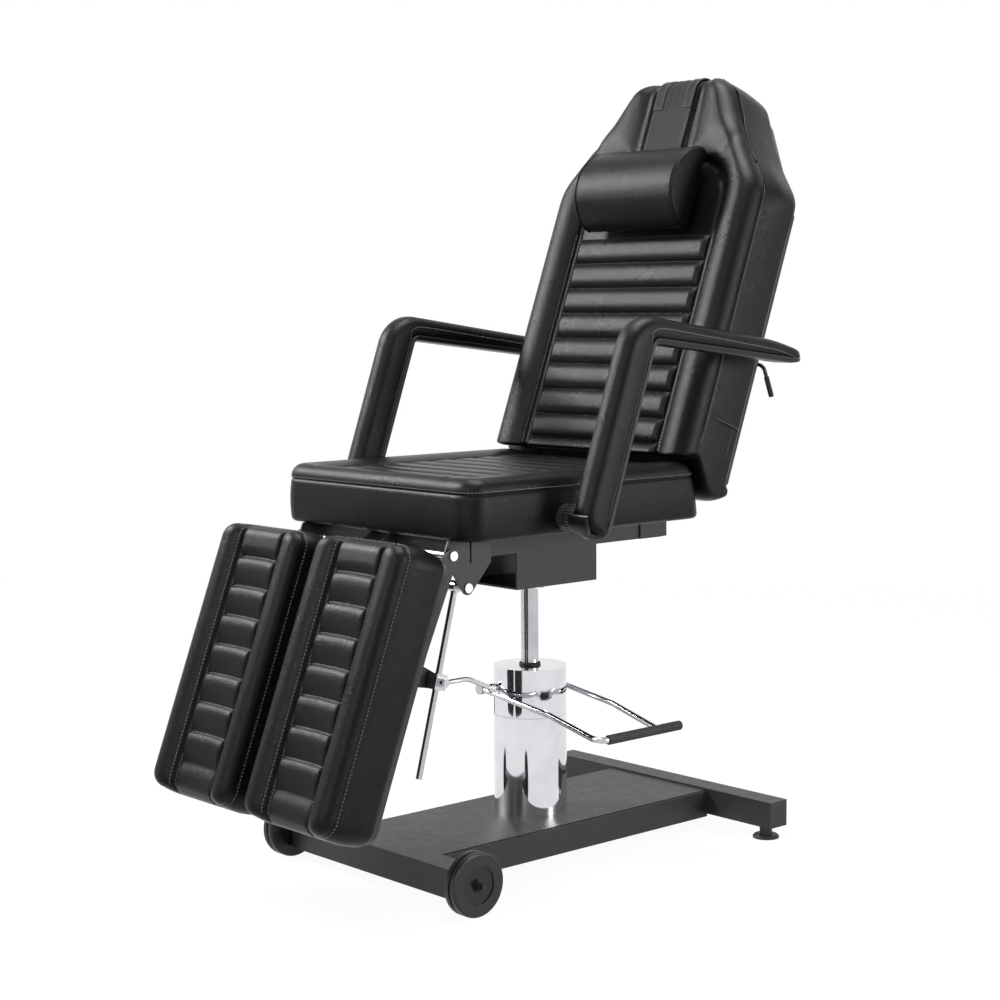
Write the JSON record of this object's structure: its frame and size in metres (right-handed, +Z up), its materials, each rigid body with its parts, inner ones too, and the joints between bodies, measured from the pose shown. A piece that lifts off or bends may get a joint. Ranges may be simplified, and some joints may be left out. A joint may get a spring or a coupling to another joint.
{
  "type": "tattoo chair",
  "caption": "Hydraulic swivel chair with a reclining padded back, drop armrests and split padded leg rests on a wheeled base.",
  "frame": {"origin": "on the floor, under the middle of the chair's footprint", "axes": "+Z up, -Y the way the sitter faces, +X to the sitter's left"},
  "size_m": [0.764, 1.335, 1.5956],
  "materials": {
    "frame_paint": "satin black powder coat",
    "pump_chrome": "polished chrome",
    "rod_chrome": "polished chrome",
    "black_steel": "black oxide steel",
    "zinc_steel": "bright zinc-plated steel",
    "clamp_chrome": "polished chrome",
    "spring_paint": "gloss black paint",
    "sleeve_rubber": "matt black rubber",
    "foot_plastic": "matt black plastic",
    "cap_plastic": "satin black plastic",
    "arm_core_plastic": "satin black moulding",
    "wheel_plastic": "gloss black plastic",
    "tyre": "gloss black rubber",
    "plywood": "black backing cloth over plywood",
    "upholstery": "black coated fabric with a fine leather grain over foam"
  },
  "bodies": {
    "base": {"base_front_tube": "frame_paint", "base_side_beams": "frame_paint", "base_rear_tube": "frame_paint", "tube_end_caps": "cap_plastic", "base_cover_plate": "frame_paint", "pump_mounting_plate": "frame_paint", "axle_bolts": "black_steel", "pump_cylinder": "pump_chrome", "pump_bolts": "zinc_steel", "pump_cover_lower": "pump_chrome", "pump_cover_upper": "pump_chrome", "pump_top_cap": "pump_chrome", "rod_wiper_seal": "sleeve_rubber"},
    "piston": {"piston_rod": "rod_chrome", "spindle_bolt": "zinc_steel"},
    "pedal": {"pedal_loop": "rod_chrome", "pedal_sleeve": "sleeve_rubber"},
    "seat_frame": {"swivel_bush": "zinc_steel", "mechanism_box": "frame_paint", "seat_rails": "frame_paint", "cross_tubes": "frame_paint", "frame_hinge_pins": "zinc_steel", "seat_board": "plywood", "seat_cushion": "upholstery", "leg_brackets": "frame_paint", "leg_pivot_bars": "zinc_steel", "armrest_fixed_rosettes": "cap_plastic", "armrest_bolts": "zinc_steel"},
    "backrest": {"back_frame": "frame_paint", "back_frame_screws": "zinc_steel", "back_board": "plywood", "back_cushion": "upholstery", "head_strap": "upholstery"},
    "pillow": {"head_pillow": "upholstery"},
    "release_lever": {"recline_lever": "spring_paint"},
    "gas_spring_body": {"gas_spring_cylinder": "spring_paint"},
    "gas_spring_plunger": {"gas_spring_rod": "clamp_chrome"},
    "wheel_left": {"wheel_tyre_left": "tyre", "wheel_hub_left": "wheel_plastic"},
    "foot_left": {"levelling_foot_left": "foot_plastic"},
    "leg_rest_left": {"leg_frame_left": "frame_paint", "leg_board_left": "plywood", "leg_cushion_left": "upholstery"},
    "support_left": {"support_rod_left": "rod_chrome"},
    "clamp_left": {"rod_clamp_left": "clamp_chrome"},
    "clamp_handle_left": {"clamp_lever_left": "clamp_chrome"},
    "armrest_left": {"arm_core_left": "arm_core_plastic", "arm_cushion_left": "upholstery"},
    "wheel_right": {"wheel_tyre_right": "tyre", "wheel_hub_right": "wheel_plastic"},
    "foot_right": {"levelling_foot_right": "foot_plastic"},
    "leg_rest_right": {"leg_frame_right": "frame_paint", "leg_board_right": "plywood", "leg_cushion_right": "upholstery"},
    "support_right": {"support_rod_right": "rod_chrome"},
    "clamp_right": {"rod_clamp_right": "clamp_chrome"},
    "clamp_handle_right": {"clamp_lever_right": "clamp_chrome"},
    "armrest_right": {"arm_core_right": "arm_core_plastic", "arm_cushion_right": "upholstery"}
  },
  "joints": [
    {"name": "seat_height", "type": "slide", "parent": "base", "child": "piston", "axis": [0, 0, 1], "range_m": [-0.135, 0.045]},
    {"name": "seat_swivel", "type": "hinge", "parent": "piston", "child": "seat_frame", "pos_m": [0, 0.075, 0.6], "axis": [0, 0, 1], "continuous": true},
    {"name": "pump_pedal", "type": "hinge", "parent": "base", "child": "pedal", "pos_m": [-0.046, 0.075, 0.334], "axis": [0, 1, 0], "range_deg": [0, 17], "stiffness_Nm_per_rad": 8, "springref_deg": -28.65},
    {"name": "back_recline", "type": "hinge", "parent": "seat_frame", "child": "backrest", "pos_m": [0, 0.331, 0.694], "axis": [-1, 0, 0], "range_deg": [0, 70]},
    {"name": "gas_spring_swing", "type": "hinge", "parent": "seat_frame", "child": "gas_spring_body", "pos_m": [0, 0.365, 0.645], "axis": [-1, 0, 0], "range_deg": [0, 70]},
    {"name": "gas_spring_stroke", "type": "slide", "parent": "gas_spring_body", "child": "gas_spring_plunger", "axis": [0, 0.3373, 0.9414], "range_m": [-0.069, 0]},
    {"name": "recline_release", "type": "hinge", "parent": "backrest", "child": "release_lever", "pos_m": [0, 0.49711, 0.98682], "axis": [1, 0, 0], "range_deg": [0, 20], "stiffness_Nm_per_rad": 0.6, "springref_deg": -28.65},
    {"name": "pillow_slide", "type": "slide", "parent": "backrest", "child": "pillow", "axis": [0, 0.3502, 0.9367], "range_m": [-0.04, 0.03]},
    {"name": "wheel_spin_left", "type": "hinge", "parent": "base", "child": "wheel_left", "pos_m": [0.284, -0.327, 0.0603], "axis": [1, 0, 0], "continuous": true},
    {"name": "foot_screw_left", "type": "slide", "parent": "base", "child": "foot_left", "axis": [0, 0, -1], "range_m": [0, 0.012]},
    {"name": "leg_raise_left", "type": "hinge", "parent": "seat_frame", "child": "leg_rest_left", "pos_m": [0.137, -0.327, 0.66], "axis": [-1, 0, 0], "range_deg": [0, 69]},
    {"name": "support_swing_left", "type": "hinge", "parent": "seat_frame", "child": "support_left", "pos_m": [0.188, -0.284, 0.596], "axis": [-1, 0, 0], "range_deg": [0, 71.5]},
    {"name": "clamp_slide_left", "type": "slide", "parent": "support_left", "child": "clamp_left", "axis": [0, -0.2554, -0.9668], "range_m": [0, 0.088]},
    {"name": "clamp_turn_left", "type": "hinge", "parent": "clamp_left", "child": "clamp_handle_left", "pos_m": [0.206, -0.32972, 0.42294], "axis": [1, 0, 0], "range_deg": [0, 60]},
    {"name": "armrest_drop_left", "type": "hinge", "parent": "seat_frame", "child": "armrest_left", "pos_m": [0.32, -0.096, 0.718], "axis": [-1, 0, 0], "range_deg": [0, 75]},
    {"name": "wheel_spin_right", "type": "hinge", "parent": "base", "child": "wheel_right", "pos_m": [-0.284, -0.327, 0.0603], "axis": [1, 0, 0], "continuous": true},
    {"name": "foot_screw_right", "type": "slide", "parent": "base", "child": "foot_right", "axis": [0, 0, -1], "range_m": [0, 0.012]},
    {"name": "leg_raise_right", "type": "hinge", "parent": "seat_frame", "child": "leg_rest_right", "pos_m": [-0.137, -0.327, 0.66], "axis": [-1, 0, 0], "range_deg": [0, 69]},
    {"name": "support_swing_right", "type": "hinge", "parent": "seat_frame", "child": "support_right", "pos_m": [-0.188, -0.284, 0.596], "axis": [-1, 0, 0], "range_deg": [0, 71.5]},
    {"name": "clamp_slide_right", "type": "slide", "parent": "support_right", "child": "clamp_right", "axis": [0, -0.2554, -0.9668], "range_m": [0, 0.088]},
    {"name": "clamp_turn_right", "type": "hinge", "parent": "clamp_right", "child": "clamp_handle_right", "pos_m": [-0.206, -0.32972, 0.42294], "axis": [1, 0, 0], "range_deg": [0, 60]},
    {"name": "armrest_drop_right", "type": "hinge", "parent": "seat_frame", "child": "armrest_right", "pos_m": [-0.32, -0.096, 0.718], "axis": [-1, 0, 0], "range_deg": [0, 75]}
  ],
  "couplings": [
    {"joint": "gas_spring_swing", "follows": "back_recline", "ratio": 0.998},
    {"joint": "gas_spring_stroke", "follows": "back_recline", "m_per_rad": -0.056},
    {"joint": "support_swing_left", "follows": "leg_raise_left", "ratio": 1.032},
    {"joint": "clamp_slide_left", "follows": "leg_raise_left", "m_per_rad": 0.0723},
    {"joint": "support_swing_right", "follows": "leg_raise_right", "ratio": 1.032},
    {"joint": "clamp_slide_right", "follows": "leg_raise_right", "m_per_rad": 0.0723}
  ]
}
